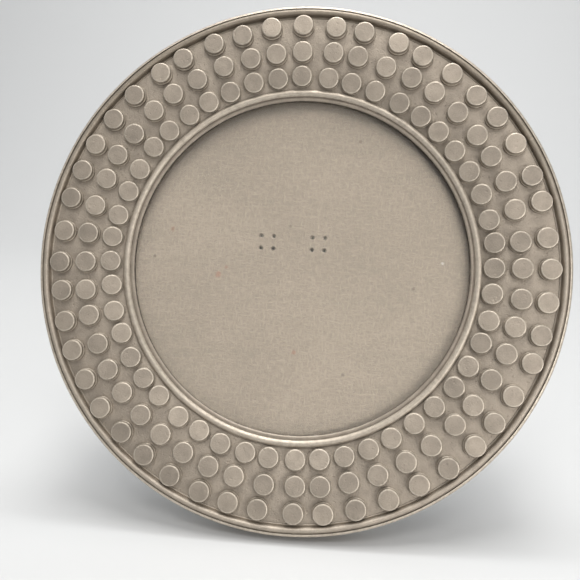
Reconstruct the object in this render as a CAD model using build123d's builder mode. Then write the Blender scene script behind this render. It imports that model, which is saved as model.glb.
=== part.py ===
from build123d import *
import os
import random
from math import asin, atan, cos, degrees, pi, radians, sin, sqrt

# Stance: the face leans back, and the opened leg holds it up
lean_angle = 17.0
leg_open_angle = 32.0

# Clearances between pieces, and the overrun of every cut
fit_gap = 0.05
running_gap = 0.05
loose_gap = 0.4
cut_overrun = 1.0

# Outer rim: a rounded lip, a half-round bead and a thin ridge, on a plain wall, with a ledge for the band
lip_width = 1.25
lip_front = 11.1
rim_groove_width = 0.25
rim_groove_depth = 0.7
bead_width = 2.1
bead_front = 11.6
ridge_groove_width = 0.1
ridge_width = 0.85
rim_wall = 2.4
rim_back_round = 0.6
ledge_width = 1.5
ledge_thickness = 1.2

# Lugs inside the rim, which take the screws of the back ring
lug_count = 6
lug_diameter = 6.4
lug_inset = 8.2
lug_web = 3.0

# Band: a domed ring that falls towards the picture
band_front = 9.4
band_fall = 3.7
band_thickness = 1.6

# Bezel: a broad roll with a lower, rounded shoulder inside it, on a tube that holds the glass
opening_diameter = 128.0
bezel_roll_width = 2.6
bezel_roll_bulge = 0.95
shoulder_width = 1.5
shoulder_round = 0.65
shoulder_drop = 1.5
bezel_rise = 2.0
bezel_depth = 3.2
bezel_overlap = 0.8
bezel_tube_wall = 1.2

# Coins: three rows of thick little discs, set on the band by hand
coin_row_count = 3
coin_diameter = 8.4
coin_row_gap = 0.875
coin_side_gap = 1.1
coin_bezel_gap = 0.1
coin_height = 2.4
coin_foot_height = 1.0
coin_foot_step = 0.38
coin_edge_round = 0.25
coin_start_angle = 1.55
coin_angle_scatter = 0.6
coin_radial_scatter = 0.4
coin_tilt_scatter = 1.0
coin_seed = 279

# Glass, picture gap and the board behind it
glass_thickness = 2.0
picture_gap = 0.3
lining_thickness = 0.3

# Back ring: the flat ring behind the band, with its screws
ring_thickness = 1.6
screw_diameter = 2.0
screw_head_diameter = 4.2
screw_head_depth = 1.1
screw_length = 5.6
screw_slot_width = 0.6
screw_slot_depth = 0.5

# Slope of the edge of every rivet head
rivet_head_slope = 45.0

# Turn buttons, which hold the board in
button_count = 4
button_first_angle = 45.0
button_inset = 6.6
button_thickness = 0.9
button_width = 8.0
button_tip_width = 5.0
button_reach = 14.0
button_lip_height = 1.2
button_lip_width = 1.0
button_rivet_diameter = 2.4
button_rivet_head_diameter = 5.2
button_rivet_head_height = 0.9
button_rivet_clinch_diameter = 4.0
button_rivet_clinch_height = 0.6

# Hinge: a pronged leaf on the board, a leaf on the leg, and their pin
hinge_side_offset = 3.2
hinge_prong_height = 8.9
hinge_drop = 10.9
hinge_width = 28.0
hinge_lift = 0.2
leaf_thickness = 0.9
leaf_height = 17.5
leaf_corner = 3.0
knuckle_count = 5
knuckle_wall = 0.9
knuckle_gap = 0.15
pin_diameter = 1.8
pin_head_diameter = 3.0
pin_head_width = 0.7
prong_side_inset = 4.1
prong_spread = 4.8
prong_width = 0.8
prong_tip_width = 0.45
prong_proud = 0.1
prong_hole_diameter = 4.4

# Easel leg
leg_thickness = 3.0
leg_top_margin = 2.0
leg_foot_width = 44.0
leg_top_corner = 4.0
leg_hinge_gap = 0.3
leg_leaf_height = 20.0
leg_rivet_inset = 6.0
leg_rivet_drop = 12.5
leg_rivet_diameter = 2.4
leg_rivet_head_diameter = 5.6
leg_rivet_head_height = 0.8
leg_rivet_clinch_diameter = 4.2
leg_rivet_clinch_height = 0.5

# Radii that follow from the sizes above, from the opening to the edge
opening_radius = opening_diameter / 2
roll_inner = opening_radius + shoulder_width
bezel_outer = roll_inner + bezel_roll_width
tube_outer = bezel_outer - bezel_overlap
tube_inner = tube_outer - bezel_tube_wall
board_radius = tube_inner - loose_gap
coin_radius = coin_diameter / 2
coin_row_pitch = coin_diameter + coin_row_gap
inner_row_radius = bezel_outer + coin_bezel_gap + coin_radial_scatter + coin_radius
outer_row_radius = inner_row_radius + (coin_row_count - 1) * coin_row_pitch
coins_per_row = int(2 * pi * inner_row_radius / (coin_diameter + coin_side_gap))
bead_inner = outer_row_radius + coin_radius + coin_radial_scatter + fit_gap
bead_radius = bead_width / 2
bead_outer = bead_inner + bead_width
lip_inner = bead_outer + rim_groove_width
frame_radius = lip_inner + lip_width
ridge_outer = bead_inner - ridge_groove_width
ridge_radius = ridge_width / 2
ridge_inner = ridge_outer - ridge_width
band_outer = ridge_inner - fit_gap
band_width = band_outer - bezel_outer
band_dome_radius = (band_width**2 + band_fall**2) / (2 * band_fall)
ledge_inner = band_outer - ledge_width
wall_inner = frame_radius - rim_wall
lug_ring_radius = frame_radius - lug_inset
ring_outer = wall_inner - fit_gap
button_ring_radius = tube_inner + button_inset
button_rivet_radius = button_rivet_diameter / 2
pin_radius = pin_diameter / 2
knuckle_bore = pin_radius + running_gap
knuckle_radius = knuckle_bore + knuckle_wall

# Every coin is lifted clear of the band, by as much as its tilt needs
coin_lift = fit_gap + coin_diameter * sin(radians(coin_tilt_scatter))

# Widths that follow the hinge
prong_pair_pitch = hinge_width - 2 * prong_side_inset
leg_rivet_pitch = hinge_width - 2 * leg_rivet_inset
leg_top_width = hinge_width + 2 * leg_top_margin


def band_height(radius, depth=0):
    """Height above the back of the band's front face, or of a face that deep below it."""
    return band_front - band_dome_radius + sqrt((band_dome_radius - depth) ** 2 - (radius - band_outer) ** 2)


def band_tilt(radius):
    """Angle by which the band's front face turns towards the picture."""
    return degrees(asin((band_outer - radius) / band_dome_radius))


# Heights above the back of the frame, along its own axis
lip_centre = lip_front - lip_width
bead_centre = bead_front - bead_radius
ridge_side = band_front - ridge_radius
ledge_front = band_height(ledge_inner, band_thickness) - fit_gap
bezel_front = band_height(bezel_outer) + bezel_rise
roll_side = bezel_front - bezel_roll_bulge
shoulder_front = bezel_front - shoulder_drop
glass_front = bezel_front - bezel_depth
glass_back = glass_front - glass_thickness
lining_front = glass_back - picture_gap
lining_back = lining_front - lining_thickness

# The hinge pivot, seen from the middle of the frame's back
pivot_depth = knuckle_radius + hinge_lift
pivot_height = hinge_prong_height - hinge_drop
leg_front = knuckle_radius + leg_hinge_gap
leg_back = leg_front + leg_thickness

# Standing: the lowest point of the rim and the sole of the leg are on the table
lean = radians(lean_angle)
leg_open = radians(leg_open_angle)
leg_lean = leg_open - lean
centre_height = (frame_radius - rim_back_round) * cos(lean) - rim_back_round * sin(lean) + rim_back_round
pivot_rise = centre_height + pivot_height * cos(lean) - pivot_depth * sin(lean)
leg_reach = (pivot_rise + leg_back * sin(leg_lean)) / cos(leg_lean)
leg_heel = (pivot_depth - leaf_thickness - fit_gap + leg_front * cos(leg_open)) / sin(leg_open)

# The origin is on the table, under the middle of the standing frame
front_reach = (bead_inner + bead_radius) * sin(lean) + bead_centre * cos(lean) + bead_radius
rim_back_reach = (frame_radius - rim_back_round) * sin(lean) - rim_back_round * cos(lean) + rim_back_round
pivot_back_reach = pivot_height * sin(lean) + pivot_depth * cos(lean)
leg_back_reach = pivot_back_reach + leg_back * cos(leg_lean) + leg_reach * sin(leg_lean)
centre_set_back = (front_reach - max(rim_back_reach, leg_back_reach)) / 2

frame_plane = Plane(
    origin=(0, centre_set_back, centre_height),
    x_dir=(1, 0, 0),
    z_dir=(0, -cos(lean), sin(lean)),
)
frame_axis = Axis(frame_plane.origin, frame_plane.z_dir)
profile_plane = Plane(
    origin=frame_plane.origin,
    x_dir=frame_plane.x_dir,
    z_dir=-frame_plane.y_dir,
)


def back_plane(x, y):
    """Plane on the back of the frame at that place, facing backwards, with its y up the frame."""
    return Plane(
        origin=frame_plane.from_local_coords((x, y, 0)),
        x_dir=-frame_plane.x_dir,
        z_dir=-frame_plane.z_dir,
    )


def back_spoke_plane(radius, angle):
    """Plane on the back of the frame, facing backwards, with its x pointing to the middle."""
    spoke = radians(angle)
    inward = frame_plane.from_local_coords((-cos(spoke), -sin(spoke), 0)) - frame_plane.origin
    return Plane(
        origin=frame_plane.from_local_coords((radius * cos(spoke), radius * sin(spoke), 0)),
        x_dir=inward,
        z_dir=-frame_plane.z_dir,
    )


def coin_planes(row, scatter):
    """Planes on the band's front face, one for each coin of a row, a little uneven."""
    planes = []
    for number in range(coins_per_row):
        turn = coin_start_angle + number * 360 / coins_per_row
        spoke = radians(turn + scatter.uniform(-coin_angle_scatter, coin_angle_scatter))
        radius = outer_row_radius - row * coin_row_pitch
        radius += scatter.uniform(-coin_radial_scatter, coin_radial_scatter)
        inward = radians(band_tilt(radius) + scatter.uniform(-coin_tilt_scatter, coin_tilt_scatter))
        sideways = radians(scatter.uniform(-coin_tilt_scatter, coin_tilt_scatter))
        normal = (
            -sin(inward) * cos(spoke) - sin(sideways) * sin(spoke),
            -sin(inward) * sin(spoke) + sin(sideways) * cos(spoke),
            cos(inward),
        )
        seat = (radius * cos(spoke), radius * sin(spoke), band_height(radius) + coin_lift)
        planes.append(
            Plane(
                origin=frame_plane.from_local_coords(seat),
                x_dir=frame_plane.from_local_coords((-sin(spoke), cos(spoke), 0)) - frame_plane.origin,
                z_dir=frame_plane.from_local_coords(normal) - frame_plane.origin,
            )
        )
    return planes


coin_scatter = random.Random(coin_seed)
coin_rows = [coin_planes(row, coin_scatter) for row in range(coin_row_count)]
lug_angles = [number * 360 / lug_count for number in range(lug_count)]
button_angles = [button_first_angle + number * 360 / button_count for number in range(button_count)]

os.makedirs("parts", exist_ok=True)

# Outer rim
with BuildPart() as outer_rim:
    with BuildSketch(profile_plane) as rim_section:
        with BuildLine() as rim_line:
            ridge_crest = ThreePointArc(
                (ridge_outer, ridge_side),
                (ridge_outer - ridge_radius, band_front),
                (ridge_inner, ridge_side),
            )
            ledge = Polyline(
                ridge_crest @ 1,
                (ridge_inner, ledge_front),
                (ledge_inner, ledge_front),
                (ledge_inner, ledge_front - ledge_thickness),
                (wall_inner, ledge_front - ledge_thickness),
                (wall_inner, 0),
                (frame_radius - rim_back_round, 0),
            )
            back_round = RadiusArc(ledge @ 1, (frame_radius, rim_back_round), -rim_back_round)
            outer_side = Line(back_round @ 1, (frame_radius, lip_centre))
            lip = RadiusArc(outer_side @ 1, (lip_inner, lip_front), -lip_width)
            rim_groove = Polyline(
                lip @ 1,
                (lip_inner, lip_front - rim_groove_depth),
                (bead_outer, lip_front - rim_groove_depth),
                (bead_outer, bead_centre),
            )
            bead = ThreePointArc(
                rim_groove @ 1,
                (bead_outer - bead_radius, bead_front),
                (bead_inner, bead_centre),
            )
            Polyline(bead @ 1, (bead_inner, ridge_side), ridge_crest @ 0)
        make_face()
    revolve(axis=frame_axis)
    lug_top = band_height(lug_ring_radius - lug_diameter / 2, band_thickness) - fit_gap
    lug_bottom = ring_thickness + fit_gap
    with BuildSketch(frame_plane.offset(lug_bottom)) as lug_section:
        with PolarLocations(lug_ring_radius, lug_count):
            Circle(lug_diameter / 2)
            Rectangle(wall_inner + rim_wall / 2 - lug_ring_radius, lug_web, align=(Align.MIN, Align.CENTER))
    extrude(amount=lug_top - lug_bottom)
    with BuildSketch(frame_plane.offset(lug_bottom)) as lug_holes:
        with PolarLocations(lug_ring_radius, lug_count):
            Circle(screw_diameter / 2 + fit_gap)
    extrude(amount=screw_length, mode=Mode.SUBTRACT)

# Domed band
with BuildPart() as face_band:
    with BuildSketch(profile_plane) as band_section:
        with BuildLine() as band_line:
            band_inner = tube_outer + fit_gap
            band_middle = (band_inner + band_outer) / 2
            front_arc = ThreePointArc(
                (band_inner, band_height(band_inner)),
                (band_middle, band_height(band_middle)),
                (band_outer, band_height(band_outer)),
            )
            back_arc = ThreePointArc(
                (band_inner, band_height(band_inner, band_thickness)),
                (band_middle, band_height(band_middle, band_thickness)),
                (band_outer, band_height(band_outer, band_thickness)),
            )
            Line(front_arc @ 0, back_arc @ 0)
            Line(front_arc @ 1, back_arc @ 1)
        make_face()
    revolve(axis=frame_axis)

# Bezel
with BuildPart() as inner_bezel:
    with BuildSketch(profile_plane) as bezel_section:
        with BuildLine() as bezel_line:
            shoulder = RadiusArc(
                (opening_radius, shoulder_front - shoulder_round),
                (opening_radius + shoulder_round, shoulder_front),
                shoulder_round,
            )
            roll = ThreePointArc(
                (roll_inner, roll_side),
                (roll_inner + bezel_roll_width / 2, bezel_front),
                (bezel_outer, roll_side),
            )
            Polyline(shoulder @ 1, (roll_inner, shoulder_front), roll @ 0)
            Polyline(
                roll @ 1,
                (bezel_outer, band_height(bezel_outer) + fit_gap),
                (tube_outer, band_height(bezel_outer) + fit_gap),
                (tube_outer, ring_thickness),
                (tube_inner, ring_thickness),
                (tube_inner, glass_front),
                (opening_radius, glass_front),
                shoulder @ 0,
            )
        make_face()
    revolve(axis=frame_axis)

# One coin, standing on the XY plane
with BuildPart() as coin:
    with BuildSketch(Plane.XZ) as coin_section:
        with BuildLine() as coin_line:
            coin_body = coin_radius - coin_foot_step
            coin_side = Polyline(
                (0, coin_height),
                (0, 0),
                (coin_radius, 0),
                (coin_radius, coin_foot_height - coin_foot_step),
                (coin_body, coin_foot_height),
                (coin_body, coin_height - coin_edge_round),
            )
            coin_edge = RadiusArc(
                coin_side @ 1,
                (coin_body - coin_edge_round, coin_height),
                -coin_edge_round,
            )
            Line(coin_edge @ 1, coin_side @ 0)
        make_face()
    revolve(axis=Axis.Z)

# Coins, row by row
coin_sets = []
for planes in coin_rows:
    with BuildPart() as coins:
        with Locations(*planes):
            add(coin.part)
    coin_sets.append(coins)
coins_outer_row, coins_middle_row, coins_inner_row = coin_sets

# Glass
with BuildPart() as glass:
    with BuildSketch(frame_plane.offset(glass_back)) as glass_disc:
        Circle(board_radius)
    extrude(amount=glass_thickness)

# Board and its lining, pierced by the hinge's prongs
hinge_plane = back_plane(-hinge_side_offset, pivot_height)
with BuildPart() as backing_board:
    with BuildSketch(frame_plane) as board_disc:
        Circle(board_radius)
    extrude(amount=lining_back)
    with BuildSketch(hinge_plane) as board_slits:
        with Locations((0, hinge_drop)):
            with GridLocations(prong_pair_pitch, 0, 2, 1):
                with GridLocations(prong_spread, prong_spread, 2, 2):
                    Rectangle(prong_width + 2 * fit_gap, prong_width + 2 * fit_gap)
    extrude(amount=-lining_front, mode=Mode.SUBTRACT)

with BuildPart() as board_lining:
    with BuildSketch(frame_plane.offset(lining_back)) as lining_disc:
        Circle(board_radius)
    extrude(amount=lining_thickness)
    with BuildSketch(hinge_plane) as lining_slits:
        with Locations((0, hinge_drop)):
            with GridLocations(prong_pair_pitch, 0, 2, 1):
                with GridLocations(prong_spread, prong_spread, 2, 2):
                    Rectangle(prong_width + 2 * fit_gap, prong_width + 2 * fit_gap)
    extrude(amount=-lining_front - cut_overrun, mode=Mode.SUBTRACT)

# Back ring
button_planes = [back_spoke_plane(button_ring_radius, angle) for angle in button_angles]
screw_planes = [back_spoke_plane(lug_ring_radius, angle) for angle in lug_angles]
sink_angle = 2 * degrees(atan((screw_head_diameter - screw_diameter) / 2 / screw_head_depth))
with BuildPart() as back_ring:
    with BuildSketch(frame_plane) as ring_disc:
        Circle(ring_outer)
        Circle(tube_inner, mode=Mode.SUBTRACT)
    extrude(amount=ring_thickness)
    with Locations(*screw_planes):
        CounterSinkHole(
            radius=screw_diameter / 2 + fit_gap,
            counter_sink_radius=screw_head_diameter / 2 + fit_gap,
            depth=ring_thickness + cut_overrun,
            counter_sink_angle=sink_angle,
        )
    with Locations(*button_planes):
        Hole(radius=button_rivet_radius + fit_gap, depth=ring_thickness + cut_overrun)

# Screws of the back ring, heads flush with it
with BuildPart() as ring_screws:
    for plane in screw_planes:
        with BuildSketch(Plane(plane.origin, x_dir=plane.x_dir, z_dir=plane.y_dir)) as screw_section:
            with BuildLine():
                Polyline(
                    (0, 0),
                    (screw_head_diameter / 2, 0),
                    (screw_diameter / 2, screw_head_depth),
                    (screw_diameter / 2, screw_length),
                    (0, screw_length),
                    close=True,
                )
            make_face()
        revolve(axis=Axis(plane.origin, plane.z_dir))
        with BuildSketch(plane) as screw_slot:
            Rectangle(screw_head_diameter, screw_slot_width)
        extrude(amount=-screw_slot_depth, mode=Mode.SUBTRACT)

# Turn buttons: each swivels on its rivet, with a lip at the tip for a finger
buttons = []
for plane in button_planes:
    with BuildPart() as button:
        tip_place = (button_reach - button_tip_width / 2, 0)
        with BuildSketch(plane.offset(running_gap)) as button_tab:
            Circle(button_width / 2)
            with Locations(tip_place):
                Circle(button_tip_width / 2)
            make_hull()
            Circle(button_rivet_radius + running_gap, mode=Mode.SUBTRACT)
        extrude(amount=button_thickness)
        with BuildSketch(plane.offset(running_gap + button_thickness)) as button_lip:
            with Locations(tip_place):
                Circle(button_tip_width / 2)
            with Locations((tip_place[0] - button_lip_width, 0)):
                Circle(button_tip_width / 2, mode=Mode.SUBTRACT)
        extrude(amount=button_lip_height)
    buttons.append(button)

# Rivets of the turn buttons
with BuildPart() as turn_button_rivets:
    head_seat = 2 * running_gap + button_thickness
    for plane in button_planes:
        with BuildSketch(plane.offset(-ring_thickness)) as button_shank:
            Circle(button_rivet_radius)
        extrude(amount=ring_thickness + head_seat)
        with BuildSketch(plane.offset(head_seat)) as button_rivet_head:
            Circle(button_rivet_head_diameter / 2)
        extrude(amount=button_rivet_head_height, taper=rivet_head_slope)
        with BuildSketch(plane.offset(-ring_thickness)) as button_rivet_clinch:
            Circle(button_rivet_clinch_diameter / 2)
        extrude(amount=-button_rivet_clinch_height)

# Knuckles of the hinge along its pin
knuckle_pitch = hinge_width / knuckle_count
knuckle_length = knuckle_pitch - knuckle_gap
knuckle_places = [(number - (knuckle_count - 1) / 2) * knuckle_pitch for number in range(knuckle_count)]
board_knuckles = knuckle_places[::2]
leg_knuckles = knuckle_places[1::2]
leaf_start = knuckle_radius + loose_gap
pin_plane = Plane(
    origin=hinge_plane.offset(pivot_depth).origin,
    x_dir=hinge_plane.y_dir,
    z_dir=hinge_plane.x_dir,
)

# Hinge leaf on the board, with eight prongs
with BuildPart() as hinge_board_leaf:
    with BuildSketch(hinge_plane) as board_leaf_face:
        with Locations((0, (leaf_start + leaf_height) / 2)):
            RectangleRounded(hinge_width, leaf_height - leaf_start, leaf_corner)
        with Locations(*[(x, 0) for x in board_knuckles]):
            Rectangle(knuckle_length, leaf_start + leaf_corner, align=(Align.CENTER, Align.MIN))
        with Locations((0, hinge_drop)):
            with GridLocations(prong_pair_pitch, 0, 2, 1):
                Circle(prong_hole_diameter / 2, mode=Mode.SUBTRACT)
    extrude(amount=leaf_thickness)
    with BuildSketch(hinge_plane) as prong_roots:
        with Locations((0, hinge_drop)):
            with GridLocations(prong_pair_pitch, 0, 2, 1):
                with GridLocations(prong_spread, prong_spread, 2, 2):
                    Rectangle(prong_width, prong_width)
    prong_length = lining_front + prong_proud
    prong_taper = degrees(atan((prong_width - prong_tip_width) / 2 / prong_length))
    extrude(amount=-prong_length, taper=prong_taper)
    for place in board_knuckles:
        with BuildSketch(pin_plane.offset(place - knuckle_length / 2)) as board_knuckle:
            Circle(knuckle_radius)
        extrude(amount=knuckle_length)
    with BuildSketch(pin_plane.offset(-hinge_width / 2 - cut_overrun)) as board_pin_bore:
        Circle(knuckle_bore)
    extrude(amount=hinge_width + 2 * cut_overrun, mode=Mode.SUBTRACT)

# Hinge pin, headed at both ends
with BuildPart() as hinge_pin:
    pin_reach = hinge_width / 2 + running_gap
    with BuildSketch(pin_plane.offset(-pin_reach)) as pin_shank:
        Circle(pin_radius)
    extrude(amount=2 * pin_reach)
    with BuildSketch(pin_plane.offset(pin_reach), pin_plane.offset(-pin_reach - pin_head_width)) as pin_heads:
        Circle(pin_head_diameter / 2)
    extrude(amount=pin_head_width)

# The opened leg's own plane: its origin is the pivot, and its y points up the leg
leg_plane = Plane(
    origin=pin_plane.origin,
    x_dir=hinge_plane.x_dir,
    z_dir=(0, cos(leg_lean), sin(leg_lean)),
)

# Hinge leaf on the leg
with BuildPart() as hinge_leg_leaf:
    with BuildSketch(leg_plane.offset(leg_front - leaf_thickness)) as leg_leaf_face:
        with Locations((0, -(leaf_start + leg_leaf_height) / 2)):
            RectangleRounded(hinge_width, leg_leaf_height - leaf_start, leaf_corner)
        with Locations(*[(x, 0) for x in leg_knuckles]):
            Rectangle(knuckle_length, leaf_start + leaf_corner, align=(Align.CENTER, Align.MAX))
        with Locations((0, -leg_rivet_drop)):
            with GridLocations(leg_rivet_pitch, 0, 2, 1):
                Circle(leg_rivet_diameter / 2 + fit_gap, mode=Mode.SUBTRACT)
    extrude(amount=leaf_thickness)
    for place in leg_knuckles:
        with BuildSketch(pin_plane.offset(place - knuckle_length / 2)) as leg_knuckle:
            Circle(knuckle_radius)
        extrude(amount=knuckle_length)
    with BuildSketch(pin_plane.offset(-hinge_width / 2 - cut_overrun)) as leg_pin_bore:
        Circle(knuckle_bore)
    extrude(amount=hinge_width + 2 * cut_overrun, mode=Mode.SUBTRACT)

# Leg: its heel stops on the board's leaf when it is open, and its sole is cut flat
with BuildPart() as easel_leg:
    with BuildSketch(leg_plane.offset(leg_front)) as leg_face:
        with BuildLine() as leg_outline:
            Polyline(
                (-leg_top_width / 2, leg_heel),
                (leg_top_width / 2, leg_heel),
                (leg_foot_width / 2, -leg_reach),
                (leg_foot_width / 2, -leg_reach - leg_thickness),
                (-leg_foot_width / 2, -leg_reach - leg_thickness),
                (-leg_foot_width / 2, -leg_reach),
                close=True,
            )
        make_face()
        fillet(leg_face.vertices().group_by(Axis.Y)[-1], leg_top_corner)
        with Locations((0, -leg_rivet_drop)):
            with GridLocations(leg_rivet_pitch, 0, 2, 1):
                Circle(leg_rivet_diameter / 2 + fit_gap, mode=Mode.SUBTRACT)
    extrude(amount=leg_thickness)
    split(bisect_by=Plane.XY, keep=Keep.TOP)

# Rivets of the leg
with BuildPart() as leg_rivets:
    with BuildSketch(leg_plane.offset(leg_front - leaf_thickness)) as leg_shanks:
        with Locations((0, -leg_rivet_drop)):
            with GridLocations(leg_rivet_pitch, 0, 2, 1):
                Circle(leg_rivet_diameter / 2)
    extrude(amount=leaf_thickness + leg_thickness)
    with BuildSketch(leg_plane.offset(leg_back)) as leg_rivet_heads:
        with Locations((0, -leg_rivet_drop)):
            with GridLocations(leg_rivet_pitch, 0, 2, 1):
                Circle(leg_rivet_head_diameter / 2)
    extrude(amount=leg_rivet_head_height, taper=rivet_head_slope)
    with BuildSketch(leg_plane.offset(leg_front - leaf_thickness)) as leg_rivet_clinches:
        with Locations((0, -leg_rivet_drop)):
            with GridLocations(leg_rivet_pitch, 0, 2, 1):
                Circle(leg_rivet_clinch_diameter / 2)
    extrude(amount=-leg_rivet_clinch_height)

pieces = {
    "outer_rim": outer_rim,
    "face_band": face_band,
    "inner_bezel": inner_bezel,
    "coins_outer_row": coins_outer_row,
    "coins_middle_row": coins_middle_row,
    "coins_inner_row": coins_inner_row,
    "glass": glass,
    "board_lining": board_lining,
    "backing_board": backing_board,
    "back_ring": back_ring,
    "ring_screws": ring_screws,
    "turn_button_rivets": turn_button_rivets,
    "hinge_board_leaf": hinge_board_leaf,
    "hinge_pin": hinge_pin,
    "hinge_leg_leaf": hinge_leg_leaf,
    "leg_rivets": leg_rivets,
    "easel_leg": easel_leg,
}
for number, button in enumerate(buttons, start=1):
    pieces[f"turn_button_{number}"] = button
for name, piece in pieces.items():
    piece.part.label = name
    export_step(piece.part, f"parts/{name}.step")
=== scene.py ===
import math
import random

import bmesh
import bpy
from mathutils import Matrix, Vector, noise


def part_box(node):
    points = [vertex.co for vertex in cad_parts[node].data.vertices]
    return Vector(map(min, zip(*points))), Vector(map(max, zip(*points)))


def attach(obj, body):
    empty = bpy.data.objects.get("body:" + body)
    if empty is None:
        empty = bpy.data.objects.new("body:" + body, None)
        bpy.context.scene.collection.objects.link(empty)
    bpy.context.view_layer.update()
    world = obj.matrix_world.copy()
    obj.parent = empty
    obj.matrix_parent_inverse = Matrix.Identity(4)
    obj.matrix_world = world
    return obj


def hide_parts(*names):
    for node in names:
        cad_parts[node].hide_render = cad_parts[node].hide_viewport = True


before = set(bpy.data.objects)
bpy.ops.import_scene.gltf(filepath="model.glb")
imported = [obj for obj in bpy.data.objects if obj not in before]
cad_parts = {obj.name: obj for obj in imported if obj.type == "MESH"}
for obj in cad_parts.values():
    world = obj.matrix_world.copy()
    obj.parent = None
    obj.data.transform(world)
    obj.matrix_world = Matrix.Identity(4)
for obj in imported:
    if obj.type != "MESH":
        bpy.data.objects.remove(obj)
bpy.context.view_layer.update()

MM = 0.001

# The frame leans back; its own directions are right, up along the face, and out of the face
LEAN = math.radians(17)
RIGHT = Vector((1, 0, 0))
UP = Vector((0, math.sin(LEAN), math.cos(LEAN)))
OUT = Vector((0, -math.cos(LEAN), math.sin(LEAN)))

# The middle of the frame's back, found from the glass, which is a plain disc
GLASS_MIDDLE = 3.5
glass_low, glass_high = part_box("glass")
BACK_MIDDLE = (glass_low + glass_high) / 2 - OUT * GLASS_MIDDLE * MM
FRAME_PLACE = Matrix.Translation(BACK_MIDDLE) @ (Matrix((RIGHT, UP, OUT)).transposed() * MM).to_4x4()

# Sizes of the face, in millimetres from the middle of the back; the hairline keeps pieces from touching
HAIRLINE = 0.05
FRAME_RADIUS = 99.6
LIP_WIDTH = 1.25
LIP_INNER = FRAME_RADIUS - LIP_WIDTH
LIP_FRONT = 11.1
GROOVE_WIDTH = 0.25
GROOVE_DEPTH = 0.7
BEAD = 1.05
BEAD_FRONT = 11.6
RIDGE_GROOVE = 0.1
RIDGE_WIDTH = 0.85
CREASE_RISE = 0.22
WALL = 2.4
LEDGE_INNER = 93.5
LEDGE_FRONT = 7.7
LEDGE_THICKNESS = 1.2
BACK_ROUND = 0.6
LIP_FOOT = 0.6
BAND_FRONT = 9.4
BAND_FALL = 3.7
BAND_OUTER = 95.0
BAND_THICKNESS = 1.6
OPENING_RADIUS = 64.0
SHOULDER_WIDTH = 1.5
SHOULDER_ROUND = 0.65
SHOULDER_DROP = 1.5
SHOULDER_LINE = 0.43
SHOULDER_LINE_HALF = 0.08
ROLL_WIDTH = 2.6
ROLL_BULGE = 0.95
ROLL_OUTER_FOOT = 0.25
ROLL_INNER_FOOT = 0.2
BEZEL_FRONT = 7.7
BEZEL_OUTER = 68.1
TUBE_OUTER = 67.3
TUBE_INNER = 66.1
TUBE_BACK = 1.6
GLASS_FRONT = 4.5

BAND_DOME = ((BAND_OUTER - BEZEL_OUTER) ** 2 + BAND_FALL**2) / (2 * BAND_FALL)


def band_height(radius, depth=0.0):
    """Height of the band's front face above the back, or of a face that deep below it."""
    return BAND_FRONT - BAND_DOME + math.sqrt((BAND_DOME - depth) ** 2 - (radius - BAND_OUTER) ** 2)


# Shapes
RING_STEPS = 256
RING_WELD = 0.0001
SWAY_OUT_SCALE = 0.05
SWAY_SIDE_SCALE = 0.07
SWAY_SIDE_START = Vector((0, 0, 9))
NODE_WELD = 1e-6
FLAT_ANGLE = math.radians(0.3)
EASED_ANGLE = math.radians(35)


def rounded(radius, out, size, first, last, steps, wear_and_light=0.0):
    """Profile points on an arc, each with a value that paints it rubbed and lit when positive, stained and
    shaded when negative.
    """
    points = []
    for step in range(steps + 1):
        angle = math.radians(first + (last - first) * step / steps)
        points.append((radius + size * math.cos(angle), out + size * math.sin(angle), wear_and_light))
    return points


def weigh_normals(mesh, limit):
    """Leans the normals towards the larger faces, so that flat faces look flat beside eased edges."""
    around = [[] for vert in mesh.vertices]
    for face in mesh.polygons:
        for number in face.vertices:
            around[number].append(face)
    normals = []
    for face in mesh.polygons:
        for number in face.vertices:
            near = [other for other in around[number] if other.normal.dot(face.normal) > math.cos(limit)]
            normals.append(sum((other.normal * other.area for other in near), Vector()).normalized())
    mesh.normals_split_custom_set(normals)


def finish(shape, name, material, node, body="frame", smooth=40, place=FRAME_PLACE):
    """Makes the shape a piece that stands for a node and rides on its body.

    A shape without a place is in the shared frame already and keeps flat faces beside its eased edges.
    """
    if place is not None:
        bmesh.ops.transform(shape, matrix=place, verts=shape.verts)
    mesh = bpy.data.meshes.new(name)
    shape.to_mesh(mesh)
    shape.free()
    for face in mesh.polygons:
        face.use_smooth = True
    mesh.set_sharp_from_angle(angle=math.radians(smooth))
    if place is None:
        weigh_normals(mesh, math.radians(smooth))
    mesh.materials.append(material)
    piece = bpy.data.objects.new(name, mesh)
    bpy.context.scene.collection.objects.link(piece)
    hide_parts(node)
    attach(piece, body)


def turned(name, profile, material, node, sway):
    """A ring around the middle of the frame, turned from its closed profile, a little uneven."""
    shape = bmesh.new()
    wear_and_light = shape.verts.layers.float.new("wear_and_light")
    ring = []
    for radius, out, worn_and_lit in profile:
        ring.append(shape.verts.new((radius, 0, out)))
        ring[-1][wear_and_light] = worn_and_lit
    sides = [shape.edges.new(pair) for pair in zip(ring, ring[1:] + ring[:1])]
    bmesh.ops.spin(
        shape, geom=ring + sides, cent=(0, 0, 0), axis=(0, 0, 1), dvec=(0, 0, 0),
        angle=2 * math.pi, steps=RING_STEPS, use_merge=True,
    )
    bmesh.ops.remove_doubles(shape, verts=shape.verts, dist=RING_WELD)
    bmesh.ops.recalc_face_normals(shape, faces=shape.faces)
    for vert in shape.verts:
        around = Vector((vert.co.x, vert.co.y, 0))
        vert.co.z += sway * noise.noise(around * SWAY_OUT_SCALE)
        vert.co += around.normalized() * sway * noise.noise(around * SWAY_SIDE_SCALE + SWAY_SIDE_START)
    finish(shape, name, material, node)


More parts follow.
